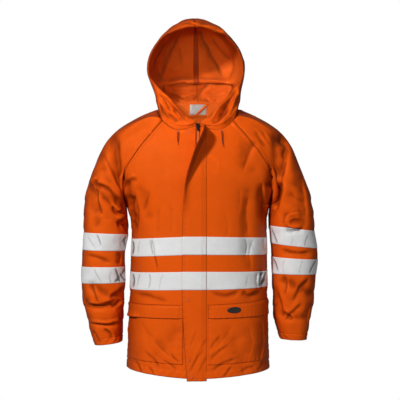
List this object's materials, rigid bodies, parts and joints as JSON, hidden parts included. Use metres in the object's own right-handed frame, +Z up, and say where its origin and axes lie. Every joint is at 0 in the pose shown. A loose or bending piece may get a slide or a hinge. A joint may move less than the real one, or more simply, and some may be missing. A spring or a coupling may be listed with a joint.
{
  "type": "hooded hi-vis rain jacket, worn",
  "caption": "Hip-length hooded hi-vis work jacket with raglan sleeves, reflective tape, zip, storm flap and patch pockets, filled out as if worn.",
  "frame": {"origin": "the middle of the neck base, where the wearer's neck and shoulders hold the jacket up", "axes": "+X to the wearer's left, the front faces -Y, +Z up"},
  "size_m": [0.6859, 0.315, 1.0309],
  "materials": {
    "shell_fabric": "fluorescent orange coated polyester, soft sheen",
    "reflective_tape": "silver glass-bead reflective tape",
    "zip_cloth": "orange woven zip tape and moulded teeth",
    "dark_hardware": "black, satin",
    "snap_metal": "painted to match the cloth",
    "label_cloth": "white woven label, blank",
    "cord": "orange braided cord"
  },
  "bodies": {
    "garment": {"back_lower": "shell_fabric", "back_upper": "shell_fabric", "collar_band": "shell_fabric", "cord_knot_left": "cord", "cord_knot_right": "cord", "drawcord_left": "cord", "drawcord_right": "cord", "eyelet_left": "dark_hardware", "eyelet_right": "dark_hardware", "front_left": "shell_fabric", "front_right": "shell_fabric", "hanger_loop": "shell_fabric", "hood_left": "shell_fabric", "hood_right": "shell_fabric", "neck_label": "label_cloth", "pocket_badge": "dark_hardware", "pocket_flap_left": "shell_fabric", "pocket_flap_right": "shell_fabric", "pocket_left": "shell_fabric", "pocket_right": "shell_fabric", "sleeve_left_lower": "shell_fabric", "sleeve_left_upper": "shell_fabric", "sleeve_right_lower": "shell_fabric", "sleeve_right_upper": "shell_fabric", "snap_hem": "snap_metal", "snap_low": "snap_metal", "snap_mid": "snap_metal", "snap_top": "snap_metal", "storm_flap": "shell_fabric", "tape_back_high": "reflective_tape", "tape_back_low": "reflective_tape", "tape_flap_high": "reflective_tape", "tape_flap_low": "reflective_tape", "tape_front_left_high": "reflective_tape", "tape_front_left_low": "reflective_tape", "tape_front_right_high": "reflective_tape", "tape_front_right_low": "reflective_tape", "tape_sleeve_left_high": "reflective_tape", "tape_sleeve_left_low": "reflective_tape", "tape_sleeve_right_high": "reflective_tape", "tape_sleeve_right_low": "reflective_tape", "zip_slider": "dark_hardware", "zip_tape_left": "zip_cloth", "zip_tape_right": "zip_cloth", "zip_teeth": "zip_cloth"},
    "pull_tab": {"zip_pull": "dark_hardware"}
  },
  "joints": [
    {"name": "zip_pull_swing", "type": "hinge", "parent": "garment", "child": "pull_tab", "pos_m": [0, -0.09465, -0.04526], "axis": [-1, 0, 0], "range_deg": [0, 150]}
  ]
}
